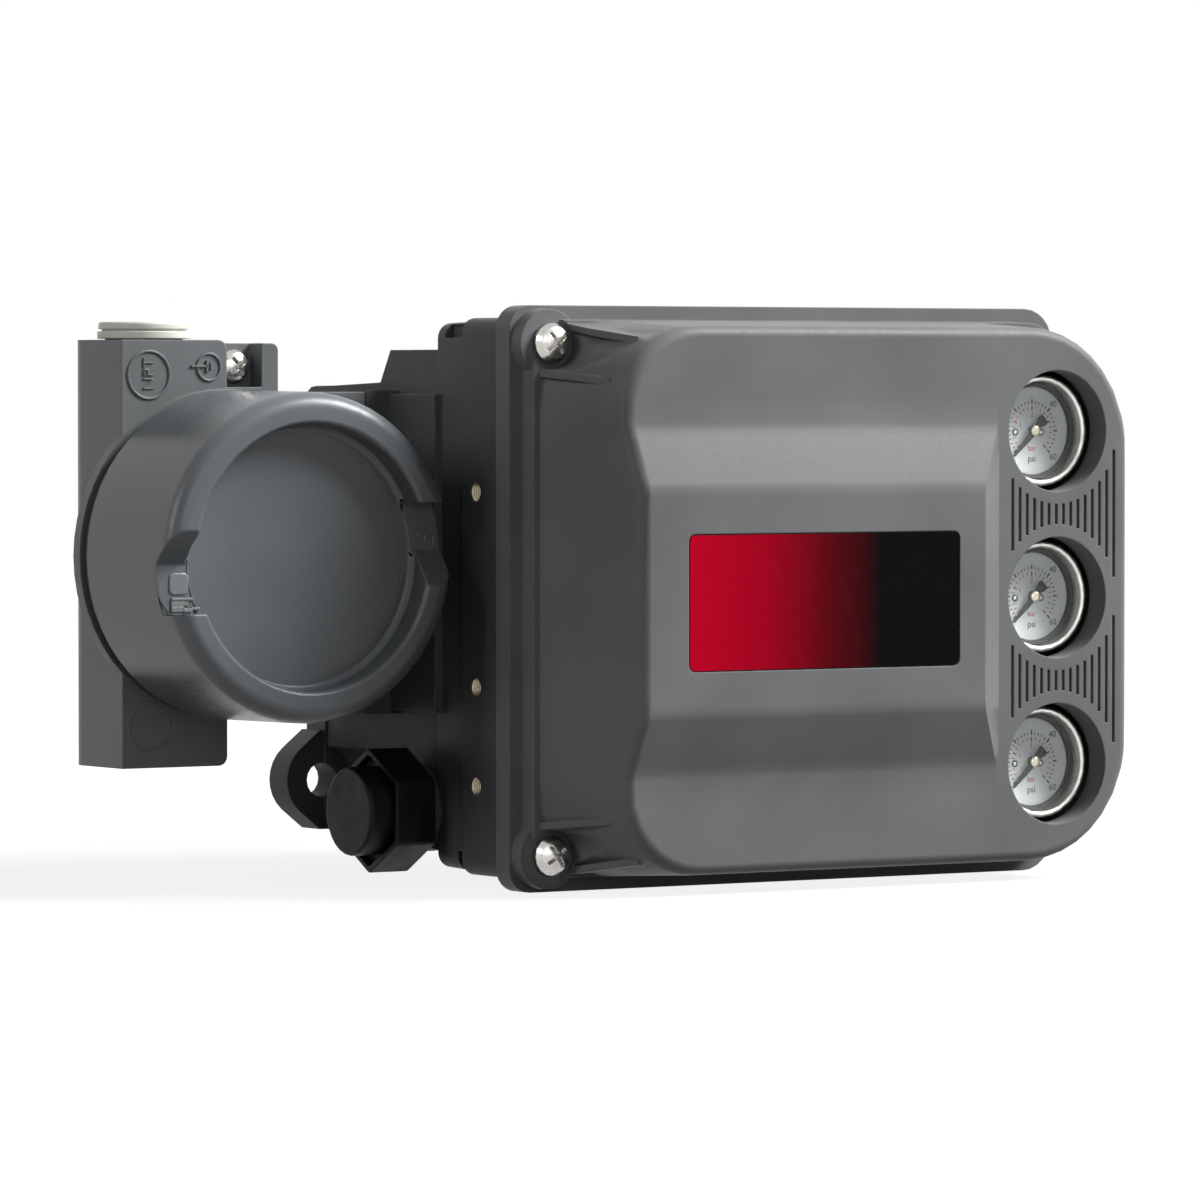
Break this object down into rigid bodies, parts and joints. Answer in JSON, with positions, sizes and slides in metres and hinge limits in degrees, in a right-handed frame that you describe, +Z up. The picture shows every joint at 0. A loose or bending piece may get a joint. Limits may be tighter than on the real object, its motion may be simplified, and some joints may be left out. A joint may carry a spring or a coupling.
{
  "type": "valve positioner",
  "caption": "Electro-pneumatic valve positioner: grey cast housing with a front cover over pressure gauges, a round screw-cap terminal box on the left, vent and rear mounting ears.",
  "frame": {"origin": "rear mounting face, centred between the mounting ears, at the mid-height of the front cover", "axes": "+X to the right seen from the front, -Y out of the front cover, +Z up"},
  "size_m": [0.2598, 0.146, 0.148],
  "materials": {
    "grey_casting": "semi-gloss grey paint on die-cast aluminium",
    "bare_casting": "bare die-cast",
    "black_plastic": "moulded matte",
    "black_rubber": "matte",
    "stainless_steel": "polished stainless",
    "white_dial": "printed white",
    "black_paint": "black paint",
    "gauge_glass": "clear",
    "pale_plastic": "moulded",
    "potted_board": "potted",
    "yellow_plastic": "moulded",
    "red_label": "printed red running to black"
  },
  "bodies": {
    "positioner": {"housing": "grey_casting", "terminal_box": "grey_casting", "cover_seal": "black_rubber", "module_gasket": "black_rubber", "vent_body": "black_plastic", "vent_cap": "black_plastic", "travel_sensor": "black_plastic", "terminal_board": "black_plastic", "relay": "black_plastic", "pressure_converter": "black_plastic", "wiring_board": "potted_board", "module_base": "bare_casting", "ground_screw": "stainless_steel", "terminal_screw_1": "stainless_steel", "module_screw_1": "stainless_steel", "terminal_screw_2": "stainless_steel", "module_screw_2": "stainless_steel", "terminal_screw_3": "stainless_steel", "module_screw_3": "stainless_steel", "terminal_screw_4": "stainless_steel", "module_screw_4": "stainless_steel", "gauge_case_1": "stainless_steel", "gauge_dial_1": "white_dial", "gauge_lens_1": "gauge_glass", "gauge_case_2": "stainless_steel", "gauge_dial_2": "white_dial", "gauge_lens_2": "gauge_glass", "gauge_case_3": "stainless_steel", "gauge_dial_3": "white_dial", "gauge_lens_3": "gauge_glass"},
    "cover": {"front_cover": "grey_casting", "label_plate": "red_label"},
    "cover_screw_upper": {"cover_screw_1": "stainless_steel"},
    "cover_screw_lower": {"cover_screw_2": "stainless_steel"},
    "cap_ring": {"cap_seal_ring": "black_rubber"},
    "cap": {"terminal_cap": "grey_casting"},
    "plug": {"conduit_plug": "pale_plastic"},
    "relay_adjuster": {"relay_disc": "yellow_plastic"},
    "pointer_top": {"gauge_pointer_1": "black_paint"},
    "pointer_middle": {"gauge_pointer_2": "black_paint"},
    "pointer_bottom": {"gauge_pointer_3": "black_paint"}
  },
  "joints": [
    {"name": "cover_pull", "type": "slide", "parent": "positioner", "child": "cover", "axis": [0, -1, 0], "range_m": [0, 0.06]},
    {"name": "cover_screw_upper_turn", "type": "hinge", "parent": "cover", "child": "cover_screw_upper", "pos_m": [-0.055, -0.1118, 0.0645], "axis": [0, -1, 0], "continuous": true},
    {"name": "cover_screw_lower_turn", "type": "hinge", "parent": "cover", "child": "cover_screw_lower", "pos_m": [-0.055, -0.1118, -0.0645], "axis": [0, -1, 0], "continuous": true},
    {"name": "cap_travel", "type": "slide", "parent": "positioner", "child": "cap_ring", "axis": [0, -1, 0], "range_m": [0, 0.01]},
    {"name": "cap_turn", "type": "hinge", "parent": "cap_ring", "child": "cap", "pos_m": [-0.112, -0.0913, 0.0108], "axis": [0, -1, 0], "range_deg": [0, 1800]},
    {"name": "plug_pull", "type": "slide", "parent": "positioner", "child": "plug", "axis": [0, 0, 1], "range_m": [0, 0.02]},
    {"name": "relay_adjust", "type": "hinge", "parent": "positioner", "child": "relay_adjuster", "pos_m": [0.028, -0.1224, -0.037], "axis": [0, -1, 0], "range_deg": [-180, 180]},
    {"name": "pointer_top_sweep", "type": "hinge", "parent": "positioner", "child": "pointer_top", "pos_m": [0.0823, -0.1297, 0.0421], "axis": [0, 1, 0], "range_deg": [0, 270], "stiffness_Nm_per_rad": 0.0008, "springref_deg": -11.46},
    {"name": "pointer_middle_sweep", "type": "hinge", "parent": "positioner", "child": "pointer_middle", "pos_m": [0.0823, -0.1297, -0.0009], "axis": [0, 1, 0], "range_deg": [0, 270], "stiffness_Nm_per_rad": 0.0008, "springref_deg": -11.46},
    {"name": "pointer_bottom_sweep", "type": "hinge", "parent": "positioner", "child": "pointer_bottom", "pos_m": [0.0823, -0.1297, -0.0439], "axis": [0, 1, 0], "range_deg": [0, 270], "stiffness_Nm_per_rad": 0.0008, "springref_deg": -11.46}
  ],
  "couplings": [
    {"joint": "cap_travel", "follows": "cap_turn", "m_per_rad": 0.00031831}
  ]
}
